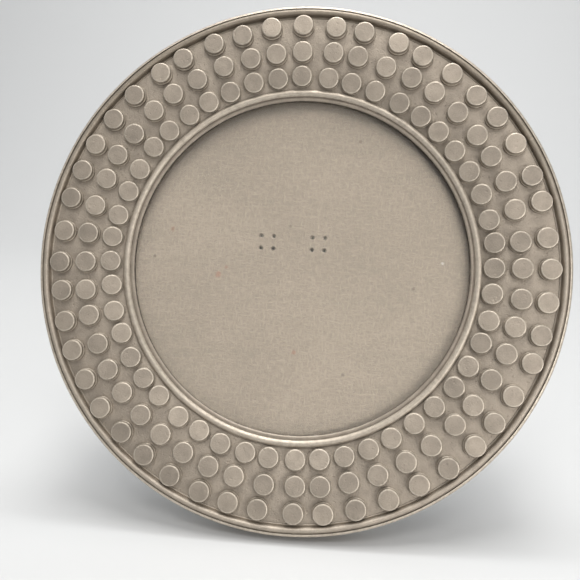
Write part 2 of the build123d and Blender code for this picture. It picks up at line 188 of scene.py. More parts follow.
def eased(node, width, material, body="frame"):
    """The node's own shape with its sharp edges eased and marked as rubbed."""
    shape = bmesh.new()
    shape.from_mesh(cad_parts[node].data)
    bmesh.ops.remove_doubles(shape, verts=shape.verts, dist=NODE_WELD)
    bmesh.ops.dissolve_limit(
        shape, angle_limit=FLAT_ANGLE, use_dissolve_boundaries=False,
        verts=shape.verts, edges=shape.edges, delimit=set(),
    )
    sharp = [edge for edge in shape.edges if edge.is_manifold and edge.calc_face_angle() > EASED_ANGLE]
    wear_and_light = shape.faces.layers.float.new("wear_and_light")
    made = bmesh.ops.bevel(
        shape, geom=sharp, offset=width * MM, offset_type="OFFSET", segments=2,
        profile=0.5, affect="EDGES", clamp_overlap=True, material=-1,
    )
    for face in made["faces"]:
        face[wear_and_light] = 1.0
    finish(shape, node + "_eased", material, node, body, smooth=30, place=None)


# Node trees


class Nodes:
    """Adds nodes to one tree and links them."""

    def __init__(self, tree):
        self.tree = tree

    def put(self, socket, value):
        if isinstance(value, bpy.types.NodeSocket):
            self.tree.links.new(value, socket)
        else:
            socket.default_value = value

    def add(self, kind, settings=None, **inputs):
        node = self.tree.nodes.new(kind)
        for key, value in (settings or {}).items():
            setattr(node, key, value)
        for key, value in inputs.items():
            self.put(node.inputs[key.replace("_", " ")], value)
        return node

    def group(self, tree, **inputs):
        node = self.tree.nodes.new("ShaderNodeGroup")
        node.node_tree = tree
        for key, value in inputs.items():
            self.put(node.inputs[key.replace("_", " ")], value)
        return node.outputs

    def math(self, operation, *values):
        node = self.tree.nodes.new("ShaderNodeMath")
        node.operation = operation
        for socket, value in zip(node.inputs, values):
            self.put(socket, value)
        return node.outputs[0]

    def times(self, first, second):
        return self.math("MULTIPLY", first, second)

    def plus(self, first, second):
        return self.math("ADD", first, second)

    def blend(self, share, first, second, how="MIX"):
        node = self.add("ShaderNodeMix", {"data_type": "RGBA", "blend_type": how})
        self.put(node.inputs[0], share)
        self.put(node.inputs[6], first)
        self.put(node.inputs[7], second)
        return node.outputs[2]

    def ramp(self, value, low, high, start=0.0, end=1.0):
        node = self.add("ShaderNodeMapRange", {"interpolation_type": "SMOOTHSTEP"}, Value=value)
        for key, amount in (("From Min", low), ("From Max", high), ("To Min", start), ("To Max", end)):
            self.put(node.inputs[key], amount)
        return node.outputs[0]

    def noise(self, position, scale, detail=2.0, roughness=0.5, distortion=0.0):
        node = self.add("ShaderNodeTexNoise", Vector=position, Scale=scale, Detail=detail)
        node.inputs["Roughness"].default_value = roughness
        node.inputs["Distortion"].default_value = distortion
        return node.outputs[0]

    def stretched(self, position, scale):
        node = self.add("ShaderNodeVectorMath", {"operation": "MULTIPLY"})
        self.put(node.inputs[0], position)
        self.put(node.inputs[1], scale)
        return node.outputs[0]

    def position(self):
        """Where the surface is, in millimetres along the frame's own directions."""
        source = self.add("ShaderNodeTexCoord")
        turn = self.add("ShaderNodeMapping", {"vector_type": "TEXTURE"}, Vector=source.outputs["Object"])
        turn.inputs["Location"].default_value = BACK_MIDDLE
        turn.inputs["Rotation"].default_value = (math.pi / 2 - LEAN, 0, 0)
        turn.inputs["Scale"].default_value = (MM, MM, MM)
        return turn.outputs[0]

    def painted(self, name):
        return self.add("ShaderNodeAttribute", {"attribute_name": name}).outputs["Fac"]

    def spokes(self, position):
        """Distance from the frame's axis."""
        flat = self.stretched(position, (1, 1, 0))
        node = self.add("ShaderNodeVectorMath", {"operation": "LENGTH"})
        self.put(node.inputs[0], flat)
        return node.outputs["Value"]


def new_group(name, inputs, outputs):
    """An empty node group with these sockets, its helper, and its two ends."""
    tree = bpy.data.node_groups.new(name, "ShaderNodeTree")
    kinds = {"value": "NodeSocketFloat", "vector": "NodeSocketVector"}
    for label, kind, *default in inputs:
        socket = tree.interface.new_socket(label, in_out="INPUT", socket_type=kinds[kind])
        if default:
            socket.default_value = default[0]
    for label, kind in outputs:
        tree.interface.new_socket(label, in_out="OUTPUT", socket_type=kinds[kind])
    nodes = Nodes(tree)
    return tree, nodes, nodes.add("NodeGroupInput").outputs, nodes.add("NodeGroupOutput").inputs


# Cast grain: fine tooth, soft lumps and small pits, as sand casting leaves them
cast_grain, nodes, given, result = new_group(
    "cast_grain",
    [("Position", "vector"), ("Tooth", "value", 0.5), ("Lumps", "value", 0.5), ("Pits", "value", 0.3)],
    [("Tone", "value"), ("Height", "value"), ("Matt", "value")],
)
tooth = nodes.noise(given["Position"], 1.9, 3.0, 0.62)
lumps = nodes.noise(given["Position"], 0.21, 2.0, 0.5)
cells = nodes.add("ShaderNodeTexVoronoi", {"feature": "SMOOTH_F1"}, Vector=given["Position"], Scale=0.62)
pits = nodes.ramp(cells.outputs["Distance"], 0.08, 0.22, 1.0, 0.0)
tooth_height = nodes.times(tooth, given["Tooth"])
lump_height = nodes.times(lumps, given["Lumps"])
pit_height = nodes.times(pits, given["Pits"])
surface_height = nodes.math("SUBTRACT", nodes.plus(tooth_height, lump_height), pit_height)
nodes.put(result["Height"], surface_height)
nodes.put(result["Tone"], nodes.math("MULTIPLY_ADD", tooth, 0.45, nodes.times(lumps, 0.55)))
nodes.put(result["Matt"], nodes.ramp(nodes.plus(tooth, pits), 0.3, 1.1))

# Rubbed edges and stained hollows, together with painted highlights and painted shade, from the values
# painted on a piece, broken up by noise
wear_stain_and_painted_light, nodes, given, result = new_group(
    "wear_stain_and_painted_light",
    [("Position", "vector"), ("Rub", "value", 0.0), ("Wear", "value", 0.6), ("Stain", "value", 0.6)],
    [("Bright", "value"), ("Dark", "value")],
)
breakup = nodes.noise(given["Position"], 0.55, 3.0, 0.65)
bright = nodes.times(nodes.math("MAXIMUM", given["Rub"], 0.0), nodes.ramp(breakup, 0.28, 0.62, 0.35, 1.0))
dark = nodes.times(
    nodes.math("MAXIMUM", nodes.times(given["Rub"], -1.0), 0.0), nodes.ramp(breakup, 0.3, 0.7, 1.0, 0.45)
)
nodes.put(result["Bright"], nodes.times(bright, given["Wear"]))
nodes.put(result["Dark"], nodes.times(dark, given["Stain"]))

# Dust that has settled on what faces up
settled_dust, nodes, given, result = new_group(
    "settled_dust",
    [("Position", "vector"), ("Amount", "value", 0.3)],
    [("Mask", "value")],
)
facing = nodes.add("ShaderNodeTexCoord").outputs["Normal"]
facing_up = nodes.add("ShaderNodeSeparateXYZ", Vector=facing).outputs["Z"]
drift = nodes.noise(given["Position"], 0.35, 4.0, 0.6)
nodes.put(
    result["Mask"],
    nodes.times(nodes.times(nodes.ramp(facing_up, 0.35, 1.0), nodes.ramp(drift, 0.35, 0.7)), given["Amount"]),
)

# Fibres: short nap lying every way, over soft uneven patches
fibre_nap, nodes, given, result = new_group(
    "fibre_nap",
    [("Position", "vector"), ("Nap", "value", 1.0), ("Patches", "value", 1.0)],
    [("Tone", "value"), ("Height", "value")],
)
across = nodes.noise(nodes.stretched(given["Position"], (3.2, 1.1, 2.0)), 1.0, 3.0, 0.6, 0.6)
along = nodes.noise(nodes.stretched(given["Position"], (1.0, 3.4, 2.0)), 1.0, 3.0, 0.6, 0.8)
nap = nodes.times(nodes.math("MAXIMUM", across, along), given["Nap"])
patches = nodes.noise(given["Position"], 0.045, 4.0, 0.55, 0.4)
nodes.put(result["Height"], nap)
nodes.put(
    result["Tone"],
    nodes.math("MULTIPLY_ADD", nap, 0.5, nodes.times(nodes.math("SUBTRACT", patches, 0.5), given["Patches"])),
)

# Fine lines that a tool or a brush leaves along one direction
brushed_lines, nodes, given, result = new_group(
    "brushed_lines",
    [("Along", "vector"), ("Depth", "value", 1.0)],
    [("Height", "value"), ("Matt", "value")],
)
lines = nodes.noise(given["Along"], 1.0, 4.0, 0.7)
nodes.put(result["Height"], nodes.times(lines, given["Depth"]))
nodes.put(result["Matt"], nodes.ramp(lines, 0.3, 0.7))

# A small round mark at one place of the face, with a ragged edge
small_mark, nodes, given, result = new_group(
    "small_mark",
    [("Position", "vector"), ("Place", "vector"), ("Size", "value", 1.0)],
    [("Mask", "value")],
)
ragged = nodes.noise(given["Position"], 1.6, 2.0, 0.6)
apart = nodes.add("ShaderNodeVectorMath", {"operation": "DISTANCE"})
nodes.put(apart.inputs[0], nodes.stretched(given["Position"], (1, 1, 0)))
nodes.put(apart.inputs[1], given["Place"])
share = nodes.math("DIVIDE", apart.outputs["Value"], given["Size"])
nodes.put(result["Mask"], nodes.ramp(nodes.plus(share, ragged), 0.75, 1.25, 1.0, 0.0))

# Materials


def new_material(name):
    material = bpy.data.materials.new(name)
    material.use_nodes = True
    material.node_tree.nodes.clear()
    nodes = Nodes(material.node_tree)
    shader = nodes.add("ShaderNodeBsdfPrincipled")
    output = nodes.add("ShaderNodeOutputMaterial", Surface=shader.outputs[0])
    return material, nodes, shader, output


def bump(nodes, height, distance):
    return nodes.add("ShaderNodeBump", Height=height, Strength=1.0, Distance=distance).outputs["Normal"]


PEWTER = (0.335, 0.287, 0.235, 1)
PEWTER_BRIGHT = (0.68, 0.61, 0.51, 1)
PEWTER_DARK = (0.075, 0.062, 0.049, 1)
UPPER_DARKER_TONE = (0.42, 0.39, 0.34, 1)
UPPER_DARKER_START = 15.0
UPPER_DARKER_FULL = 95.0
UPPER_DARKER_RAGGED = 40.0
UPPER_DARKER_EDGE = 0.1
DUST = (0.5, 0.46, 0.4, 1)


def cast_metal(name, tooth, lumps, depth, wear_and_highlight, stain_and_shade, own_tone=None, upper_darkening=0.0):
    """Cast metal with a dull pewter finish, rubbed on its crests and stained in its hollows, with painted
    highlights on its edges and painted shade in its creases and recesses.

    Inside the lip the upper part is painted darker and browner, unevenly.
    """
    material, nodes, shader, output = new_material(name)
    position = nodes.position()
    grain = nodes.group(cast_grain, Position=position, Tooth=tooth, Lumps=lumps)
    worn_and_lit = nodes.group(wear_stain_and_painted_light, Position=position, Rub=nodes.painted("wear_and_light"), Wear=wear_and_highlight, Stain=stain_and_shade)
    dust = nodes.group(settled_dust, Position=position, Amount=0.25)
    shade = nodes.ramp(grain["Tone"], 0.3, 0.7, 0.86, 1.14)
    if own_tone:
        shade = nodes.times(shade, nodes.painted(own_tone))
    grey = nodes.add("ShaderNodeCombineColor", Red=shade, Green=shade, Blue=shade).outputs[0]
    tone = nodes.blend(1.0, PEWTER, grey, "MULTIPLY")
    tone = nodes.blend(worn_and_lit["Dark"], tone, PEWTER_DARK)
    tone = nodes.blend(worn_and_lit["Bright"], tone, PEWTER_BRIGHT)
    # Inside the lip the upper part is painted darker and browner, unevenly
    if upper_darkening:
        rise = nodes.add("ShaderNodeSeparateXYZ", Vector=position).outputs["Y"]
        uneven = nodes.plus(rise, nodes.times(nodes.noise(position, 0.05, 3.0, 0.6), UPPER_DARKER_RAGGED))
        edges = LIP_INNER - UPPER_DARKER_EDGE, LIP_INNER + UPPER_DARKER_EDGE
        inside_lip = nodes.ramp(nodes.spokes(position), *edges, upper_darkening, 0.0)
        darker_above = nodes.times(nodes.ramp(uneven, UPPER_DARKER_START, UPPER_DARKER_FULL), inside_lip)
        tone = nodes.blend(darker_above, tone, UPPER_DARKER_TONE, "MULTIPLY")
    tone = nodes.blend(dust["Mask"], tone, DUST)
    nodes.put(shader.inputs["Base Color"], tone)
    nodes.put(shader.inputs["Metallic"], nodes.ramp(dust["Mask"], 0.0, 0.3, 0.62, 0.4))
    matt = nodes.ramp(grain["Matt"], 0.0, 1.0, 0.5, 0.62)
    matt = nodes.math("SUBTRACT", matt, nodes.times(worn_and_lit["Bright"], 0.12))
    nodes.put(shader.inputs["Roughness"], nodes.plus(matt, nodes.times(worn_and_lit["Dark"], 0.2)))
    nodes.put(shader.inputs["Normal"], bump(nodes, grain["Height"], depth * MM))
    return material


band_metal = cast_metal("band_cast_metal", tooth=0.55, lumps=0.9, depth=0.3, wear_and_highlight=0.5, stain_and_shade=0.8)
rim_metal = cast_metal("rim_cast_metal", tooth=0.45, lumps=0.8, depth=0.25, wear_and_highlight=0.7, stain_and_shade=0.5, upper_darkening=0.5)
bezel_metal = cast_metal("bezel_cast_metal", tooth=0.35, lumps=0.5, depth=0.2, wear_and_highlight=0.66, stain_and_shade=1.0)
coin_metal = cast_metal(
    "coin_cast_metal", tooth=0.5, lumps=0.6, depth=0.22, wear_and_highlight=0.75, stain_and_shade=0.8, own_tone="coin_tone"
)

# Lining: suede-like cloth with the nap lying unevenly, a painted shadow under the bezel, deepest at the top,
# pierced by the prongs with painted shade around each, and with a few old marks
PRONG_MIDDLE = (-3.2, 8.9)
PRONG_PAIR = 9.9
PRONG_SPREAD = 2.4
PRONG_ROW_GAP = 1.0
BEZEL_SHADOW_TONE = (0.09, 0.074, 0.058, 1)
BEZEL_SHADOW_START = 57.0
BEZEL_SHADOW_FULL = 64.5
BEZEL_SHADOW_LOW = 10.0
BEZEL_SHADOW_HIGH = 60.0
lining_cloth, nodes, shader, output = new_material("suede_lining")
position = nodes.position()
nap = nodes.group(fibre_nap, Position=nodes.stretched(position, (0.4, 0.4, 0.4)), Nap=1.0, Patches=0.2)
cloth = nodes.blend(nodes.ramp(nap["Tone"], 0.17, 0.41), (0.21, 0.174, 0.136, 1), (0.3, 0.249, 0.196, 1))
axes = nodes.add("ShaderNodeSeparateXYZ", Vector=position).outputs
# A painted shadow of the bezel on the cloth near the opening's edge, deeper towards the top
near_edge = nodes.ramp(nodes.spokes(position), BEZEL_SHADOW_START, BEZEL_SHADOW_FULL)
bezel_shadow_mask = nodes.times(near_edge, nodes.ramp(axes["Y"], BEZEL_SHADOW_LOW, BEZEL_SHADOW_HIGH, 0.15, 0.6))
cloth = nodes.blend(bezel_shadow_mask, cloth, BEZEL_SHADOW_TONE)
pair_side = nodes.math("ABSOLUTE", nodes.plus(axes["X"], -PRONG_MIDDLE[0]))
prong_side = nodes.math("ABSOLUTE", nodes.plus(pair_side, -PRONG_PAIR))
prong_x = nodes.plus(prong_side, -PRONG_SPREAD)
prong_rise = nodes.plus(axes["Y"], -PRONG_MIDDLE[1])
prong_y = nodes.plus(nodes.math("ABSOLUTE", prong_rise), -PRONG_SPREAD)
from_prong = nodes.math("SQRT", nodes.plus(nodes.times(prong_x, prong_x), nodes.times(prong_y, prong_y)))
pricked = nodes.ramp(from_prong, 0.35, 1.15, 1.0, 0.0)
# Painted shade of the dimples around the prong holes, fainter on the upper row
prong_shade = nodes.times(pricked, nodes.ramp(prong_rise, -PRONG_ROW_GAP, PRONG_ROW_GAP, 0.65, 0.3))
cloth = nodes.blend(prong_shade, cloth, (0.11, 0.09, 0.07, 1))
MARK_STRENGTH = 0.7
LINING_MARKS = (
    (-50.5, 12.5, 1.6, (0.2, 0.11, 0.07, 1)),
    (-31.5, -4.5, 2.0, (0.25, 0.13, 0.09, 1)),
    (-28.5, -1.5, 1.3, (0.22, 0.13, 0.09, 1)),
    (-57.0, 1.6, 1.1, (0.1, 0.08, 0.06, 1)),
    (21.0, 49.5, 1.3, (0.14, 0.1, 0.08, 1)),
    (-4.5, 15.5, 1.0, (0.15, 0.12, 0.09, 1)),
    (-0.5, -33.0, 1.5, (0.24, 0.13, 0.09, 1)),
    (18.5, -40.5, 1.2, (0.12, 0.1, 0.08, 1)),
    (43.5, -6.5, 1.3, (0.13, 0.1, 0.08, 1)),
    (54.1, 3.6, 1.0, (0.42, 0.4, 0.36, 1)),
)
for right, up, size, tone in LINING_MARKS:
    mark = nodes.group(small_mark, Position=position, Place=(right, up, 0), Size=size)
    cloth = nodes.blend(nodes.times(mark["Mask"], MARK_STRENGTH), cloth, tone)
nodes.put(shader.inputs["Base Color"], cloth)
nodes.put(shader.inputs["Roughness"], nodes.ramp(nap["Height"], 0.3, 0.8, 0.82, 0.97))
shader.inputs["Sheen Weight"].default_value = 0.25
shader.inputs["Sheen Roughness"].default_value = 0.5
pressed = nodes.math("SUBTRACT", nap["Height"], nodes.times(pricked, 1.6))
nodes.put(shader.inputs["Normal"], bump(nodes, pressed, 0.3 * MM))

# Glass: clear and polished, with a faint film where it was wiped; it lets the lamps through
clear_glass, nodes, shader, output = new_material("clear_picture_glass")
position = nodes.position()
wiped = nodes.noise(nodes.stretched(position, (0.02, 0.09, 0.05)), 1.0, 4.0, 0.6, 1.5)
film = nodes.blend(nodes.ramp(wiped, 0.4, 0.7), (1, 1, 1, 1), (0.965, 0.97, 0.97, 1))
nodes.put(shader.inputs["Base Color"], film)
nodes.put(shader.inputs["Roughness"], nodes.ramp(wiped, 0.45, 0.75, 0.0, 0.05))
shader.inputs["Transmission Weight"].default_value = 1.0
shader.inputs["IOR"].default_value = 1.5
through = nodes.add("ShaderNodeBsdfTransparent", Color=(0.93, 0.94, 0.935, 1))
lamp_rays = nodes.add("ShaderNodeLightPath").outputs["Is Shadow Ray"]
either = nodes.add("ShaderNodeMixShader", Fac=lamp_rays)
nodes.put(either.inputs[1], shader.outputs[0])
nodes.put(either.inputs[2], through.outputs[0])
nodes.put(output.inputs["Surface"], either.outputs[0])

# Board and leg: hardboard under dark flocked cloth, worn through to the board along the edges
flocked_board, nodes, shader, output = new_material("flocked_board")
position = nodes.position()
nap = nodes.group(fibre_nap, Position=nodes.stretched(position, (1.4, 1.4, 1.4)), Nap=1.0, Patches=0.8)
worn = nodes.group(wear_stain_and_painted_light, Position=position, Rub=nodes.painted("wear_and_light"), Wear=0.85, Stain=0.0)
dust = nodes.group(settled_dust, Position=position, Amount=0.35)
flock = nodes.blend(nodes.ramp(nap["Tone"], 0.1, 0.6), (0.022, 0.019, 0.018, 1), (0.058, 0.051, 0.048, 1))
lint = nodes.ramp(nodes.noise(nodes.stretched(position, (0.5, 1.7, 1.0)), 1.0, 5.0, 0.75, 2.5), 0.7, 0.76)
flock = nodes.blend(nodes.times(lint, 0.25), flock, (0.3, 0.28, 0.26, 1))
flock = nodes.blend(worn["Bright"], flock, (0.2, 0.125, 0.07, 1))
nodes.put(shader.inputs["Base Color"], nodes.blend(dust["Mask"], flock, (0.2, 0.19, 0.18, 1)))
nodes.put(shader.inputs["Roughness"], nodes.ramp(nap["Height"], 0.3, 0.8, 0.85, 1.0))
shader.inputs["Sheen Weight"].default_value = 0.5
shader.inputs["Sheen Roughness"].default_value = 0.4
shader.inputs["Specular IOR Level"].default_value = 0.25
nodes.put(shader.inputs["Normal"], bump(nodes, nap["Height"], 0.3 * MM))

# Back ring: satin plate with the fine turned lines of its stamping, and handling scratches
turned_plate, nodes, shader, output = new_material("turned_satin_plate")
position = nodes.position()
axes = nodes.add("ShaderNodeSeparateXYZ", Vector=position).outputs
rings = nodes.add("ShaderNodeCombineXYZ", X=nodes.times(nodes.spokes(position), 3.5), Z=axes["Z"])
turning = nodes.group(brushed_lines, Along=rings.outputs[0], Depth=0.5)
handled = nodes.noise(position, 0.07, 4.0, 0.6, 0.6)
scratch = nodes.group(brushed_lines, Along=nodes.stretched(position, (0.09, 2.4, 1.0)), Depth=1.0)
fine_scratch = nodes.ramp(scratch["Height"], 0.7, 0.78)
worn = nodes.group(wear_stain_and_painted_light, Position=position, Rub=nodes.painted("wear_and_light"), Wear=0.6, Stain=0.0)
plate = nodes.blend(nodes.ramp(handled, 0.3, 0.75), (0.4, 0.385, 0.36, 1), (0.44, 0.425, 0.4, 1))
plate = nodes.blend(nodes.times(fine_scratch, 0.4), plate, (0.65, 0.63, 0.6, 1))
plate = nodes.blend(worn["Bright"], plate, (0.66, 0.64, 0.6, 1))
nodes.put(shader.inputs["Base Color"], plate)
shader.inputs["Metallic"].default_value = 0.9
matt = nodes.ramp(handled, 0.3, 0.7, 0.36, 0.44)
nodes.put(shader.inputs["Roughness"], nodes.plus(matt, nodes.times(turning["Matt"], 0.1)))
nodes.put(
    shader.inputs["Normal"],
    bump(nodes, nodes.math("SUBTRACT", turning["Height"], nodes.times(fine_scratch, 0.4)), 0.08 * MM),
)


PRONG_TIP_BACK = 1.5
PRONG_TIP_FRONT = 1.8


def steel(name, tone, tarnished, roughness, lines):
    """Nickel-plated steel, brushed one way, with tarnish in spots and bright edges.

    What reaches forward to the lining is darker, the lower ones most.
    """
    material, nodes, shader, output = new_material(name)
    position = nodes.position()
    brushing = nodes.group(brushed_lines, Along=nodes.stretched(position, lines), Depth=0.6)
    worn = nodes.group(wear_stain_and_painted_light, Position=position, Rub=nodes.painted("wear_and_light"), Wear=0.8, Stain=0.0)
    spots = nodes.ramp(nodes.noise(position, 0.6, 4.0, 0.7, 0.5), 0.52, 0.72)
    plated = nodes.blend(nodes.times(spots, 0.55), tone, tarnished)
    plated = nodes.blend(worn["Bright"], plated, (0.82, 0.8, 0.76, 1))
    axes = nodes.add("ShaderNodeSeparateXYZ", Vector=position).outputs
    forward = nodes.ramp(axes["Z"], PRONG_TIP_BACK, PRONG_TIP_FRONT)
    upper = nodes.ramp(axes["Y"], PRONG_MIDDLE[1] - PRONG_ROW_GAP, PRONG_MIDDLE[1] + PRONG_ROW_GAP)
    plated = nodes.blend(forward, plated, nodes.blend(upper, (0.03, 0.025, 0.02, 1), (0.12, 0.1, 0.08, 1)))
    nodes.put(shader.inputs["Base Color"], plated)
    shader.inputs["Metallic"].default_value = 1.0
    matt = nodes.plus(nodes.times(brushing["Matt"], 0.12), nodes.times(nodes.plus(spots, forward), 0.2))
    nodes.put(shader.inputs["Roughness"], nodes.plus(matt, roughness))
    nodes.put(shader.inputs["Normal"], bump(nodes, brushing["Height"], 0.05 * MM))
    return material


leaf_steel = steel(
    "brushed_leaf_steel", tone=(0.56, 0.55, 0.52, 1), tarnished=(0.24, 0.21, 0.17, 1),
    roughness=0.24, lines=(0.12, 3.2, 1.0),
)
pin_steel = steel(
    "drawn_pin_steel", tone=(0.5, 0.49, 0.46, 1), tarnished=(0.2, 0.17, 0.13, 1),
    roughness=0.2, lines=(0.1, 3.0, 3.0),
)
button_steel = steel(
    "stamped_button_steel", tone=(0.6, 0.58, 0.53, 1), tarnished=(0.27, 0.22, 0.16, 1),
    roughness=0.26, lines=(1.6, 1.6, 0.3),
)
screw_steel = steel(
    "screw_steel", tone=(0.26, 0.25, 0.235, 1), tarnished=(0.12, 0.1, 0.08, 1),
    roughness=0.24, lines=(2.4, 2.4, 2.4),
)

# Rim: a rounded lip, a fine groove, a half-round bead and a thin ridge
lip_out = LIP_FRONT - LIP_WIDTH
bead_outer = LIP_INNER - GROOVE_WIDTH
bead_inner = bead_outer - 2 * BEAD
bead_out = BEAD_FRONT - BEAD
groove_floor = LIP_FRONT - GROOVE_DEPTH
ridge_outer = bead_inner - RIDGE_GROOVE
ridge_radius = RIDGE_WIDTH / 2
ridge_side = BAND_FRONT - ridge_radius
crease = ridge_side + CREASE_RISE
wall_inner = FRAME_RADIUS - WALL
ledge_back = LEDGE_FRONT - LEDGE_THICKNESS
# Along the profile the lip is painted bright as a rubbed, lit crest, and the groove and the ridge's foot are
# painted dark as stained, shaded hollows
rim_profile = (
    [(FRAME_RADIUS, lip_out - LIP_FOOT, 0.0)]
    + rounded(LIP_INNER + HAIRLINE, lip_out, LIP_WIDTH - HAIRLINE, 0, 88, 8, 0.9)
    + [(LIP_INNER, groove_floor, -0.6), (bead_outer, groove_floor, -0.6)]
    + rounded(bead_outer - BEAD, bead_out, BEAD, 0, 60, 4, 0.0)
    + rounded(bead_outer - BEAD, bead_out, BEAD, 75, 120, 3, 0.25)
    + rounded(bead_outer - BEAD, bead_out, BEAD, 135, 180, 3, 0.1)
    + [(bead_inner, crease, -0.1)]
    + rounded(ridge_outer - ridge_radius, ridge_side, ridge_radius, 35, 180, 6, 0.3)
    + [
        (ridge_outer - RIDGE_WIDTH, LEDGE_FRONT, -0.3),
        (LEDGE_INNER, LEDGE_FRONT, 0.0),
        (LEDGE_INNER, ledge_back, 0.0),
        (wall_inner, ledge_back, 0.0),
        (wall_inner, 0.0, 0.0),
    ]
    + rounded(FRAME_RADIUS - BACK_ROUND, BACK_ROUND, BACK_ROUND, -90, 0, 4, 0.5)
    + [(FRAME_RADIUS, 2 * BACK_ROUND, 0.0)]
)
turned("beaded_rim", rim_profile, rim_metal, "outer_rim", sway=0.06)

# Band: domed, falling towards the picture
band_inner = TUBE_OUTER + HAIRLINE
BAND_STEPS = 24
band_radii = [band_inner + (BAND_OUTER - band_inner) * step / BAND_STEPS for step in range(BAND_STEPS + 1)]
band_profile = [(radius, band_height(radius), 0.0) for radius in band_radii]
# The band's inner edge, where it meets the bezel, is painted dark as shade
band_profile[0] = (band_inner, band_height(band_inner), -1.0)
band_profile += [(radius, band_height(radius, BAND_THICKNESS), 0.0) for radius in reversed(band_radii)]
turned("domed_band", band_profile, band_metal, "face_band", sway=0.05)

# Bezel: a broad roll with a lower, rounded shoulder inside it, on the tube that holds the glass
shoulder_front = BEZEL_FRONT - SHOULDER_DROP
shoulder_side = shoulder_front - SHOULDER_ROUND
roll_inner = OPENING_RADIUS + SHOULDER_WIDTH
roll_middle = roll_inner + ROLL_WIDTH / 2
roll_radius = (ROLL_WIDTH**2 / 4 + ROLL_BULGE**2) / (2 * ROLL_BULGE)
roll_out = BEZEL_FRONT - roll_radius
roll_end = math.degrees(math.asin((roll_radius - ROLL_BULGE) / roll_radius))
roll_side = BEZEL_FRONT - ROLL_BULGE
bezel_foot = band_height(BEZEL_OUTER) + HAIRLINE
shoulder_line = roll_inner - SHOULDER_LINE
# Along the profile the roll's crest is painted bright as a highlight and rubbing; the inner wall down to the
# glass, the opening's edge, the foot on the band, the roll's feet and the shoulder's line are painted dark as
# shade
bezel_profile = (
    [(BEZEL_OUTER, bezel_foot, -1.0), (BEZEL_OUTER, roll_side - ROLL_OUTER_FOOT, -0.2)]
    + rounded(roll_middle, roll_out, roll_radius, roll_end, 180 - roll_end, 14, 0.6)
    + [
        (roll_inner, roll_side - ROLL_INNER_FOOT, -0.2),
        (roll_inner, shoulder_front, -0.5),
        (shoulder_line + SHOULDER_LINE_HALF, shoulder_front, -0.15),
        (shoulder_line, shoulder_front - SHOULDER_LINE_HALF, -0.4),
        (shoulder_line - SHOULDER_LINE_HALF, shoulder_front, -0.15),
    ]
    + rounded(OPENING_RADIUS + SHOULDER_ROUND, shoulder_side, SHOULDER_ROUND, 90, 160, 4, -0.15)
    + [
        (OPENING_RADIUS, shoulder_side, -1.2),
        (OPENING_RADIUS, GLASS_FRONT, -2.0),
        (TUBE_INNER, GLASS_FRONT, -2.0),
        (TUBE_INNER, TUBE_BACK, 0.0),
        (TUBE_OUTER, TUBE_BACK, 0.0),
        (TUBE_OUTER, bezel_foot, 0.0),
    ]
)
turned("beaded_bezel", bezel_profile, bezel_metal, "inner_bezel", sway=0.04)

# Coins: thick little discs, each on a slightly wider foot, set by hand in three uneven rows
COIN_RADIUS = 4.2
COIN_HEIGHT = 2.4
COIN_FOOT_HEIGHT = 1.0
COIN_FOOT_STEP = 0.32
COIN_FOOT_EDGE = 0.08
COIN_EDGE = 0.45
COIN_SIDES = 20
COIN_SUNK = 0.3
COINS_PER_ROW = 48
COIN_START_ANGLE = 1.55
COIN_ANGLE_SCATTER = 0.6
COIN_RADIAL_SCATTER = 0.4
COIN_TILT_SCATTER = 1.0
COIN_LIFT = HAIRLINE + 2 * COIN_RADIUS * math.sin(math.radians(COIN_TILT_SCATTER))
COIN_TONES = (0.82, 1.06)
COIN_MIDDLE = 1.0
COIN_OUTLINE_SWAY = 0.09
COIN_OUTLINE_SCALE = 0.35
COIN_FACE_SWAY = 0.05
COIN_FACE_SCALE = 0.3
COIN_SWAY_SPREAD = 50
COIN_LAST_SPIN = 6.28
COIN_ROW_RADII = {"coins_outer_row": 91.35, "coins_middle_row": 82.075, "coins_inner_row": 72.8}
body_radius = COIN_RADIUS - COIN_FOOT_STEP
# Along the profile the top edge and the foot's step are painted bright as highlights and rubbing; the foot's
# base on the band and the crease above the foot are painted dark as shade
coin_profile = (
    (COIN_RADIUS, -COIN_SUNK, -1.0),
    (COIN_RADIUS, COIN_FOOT_HEIGHT - COIN_FOOT_STEP, 0.9),
    (body_radius + COIN_FOOT_EDGE, COIN_FOOT_HEIGHT, 0.3),
    (body_radius, COIN_FOOT_HEIGHT, -1.0),
    (body_radius, COIN_HEIGHT - COIN_EDGE, 0.3),
    (body_radius - 0.3 * COIN_EDGE, COIN_HEIGHT - 0.3 * COIN_EDGE, 0.9),
    (body_radius - COIN_EDGE, COIN_HEIGHT, 0.5),
    (body_radius - 1.4 * COIN_EDGE, COIN_HEIGHT, 0.0),
)
coin = bmesh.new()
wear_and_light = coin.verts.layers.float.new("wear_and_light")
side = []
for radius, up, worn_and_lit in coin_profile:
    side.append(coin.verts.new((radius, 0, up)))
    side[-1][wear_and_light] = worn_and_lit
lines = [coin.edges.new(pair) for pair in zip(side, side[1:])]
bmesh.ops.spin(
    coin, geom=side + lines, cent=(0, 0, 0), axis=(0, 0, 1), dvec=(0, 0, 0),
    angle=2 * math.pi, steps=COIN_SIDES, use_merge=True,
)
bmesh.ops.remove_doubles(coin, verts=coin.verts, dist=RING_WELD)
bmesh.ops.holes_fill(coin, edges=coin.edges, sides=0)
bmesh.ops.recalc_face_normals(coin, faces=coin.faces)
coin_mesh = bpy.data.meshes.new("one_coin")
coin.to_mesh(coin_mesh)
coin.free()


